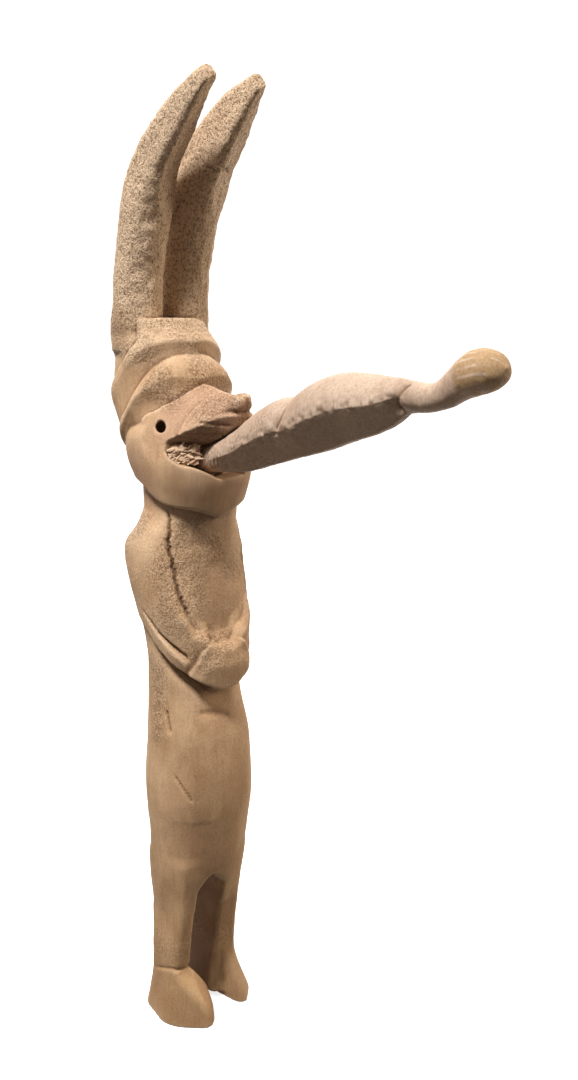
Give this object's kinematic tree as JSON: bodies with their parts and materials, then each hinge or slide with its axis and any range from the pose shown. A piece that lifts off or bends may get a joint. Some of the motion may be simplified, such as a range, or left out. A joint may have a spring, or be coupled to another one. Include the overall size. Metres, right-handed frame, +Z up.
{
  "type": "carved wooden fertility doll",
  "caption": "Standing carved wooden figure with tall swept horns, a banded head and a long tongue that slides out of a socket in its mouth.",
  "frame": {"origin": "on the ground, midway between the two feet", "axes": "+Z up along the standing figure, the face looks along -Y, +X is the figure's left"},
  "size_m": [0.0476, 0.1785, 0.361],
  "materials": {
    "figure_wood": "unfinished carved wood with fine tool marks",
    "tongue_wood": "unfinished carved wood, amber at the tip",
    "wedge_wood": "split pale softwood"
  },
  "bodies": {
    "figure": {"figure": "figure_wood"},
    "tongue": {"tongue": "tongue_wood"},
    "mouth_wedge": {"mouth_wedge": "wedge_wood"}
  },
  "joints": [
    {"name": "tongue_slide", "type": "slide", "parent": "figure", "child": "tongue", "axis": [0, -0.9598, 0.2807], "range_m": [0, 0.018]},
    {"name": "wedge_slide", "type": "slide", "parent": "figure", "child": "mouth_wedge", "axis": [0, -1, 0], "range_m": [0, 0.012]}
  ]
}
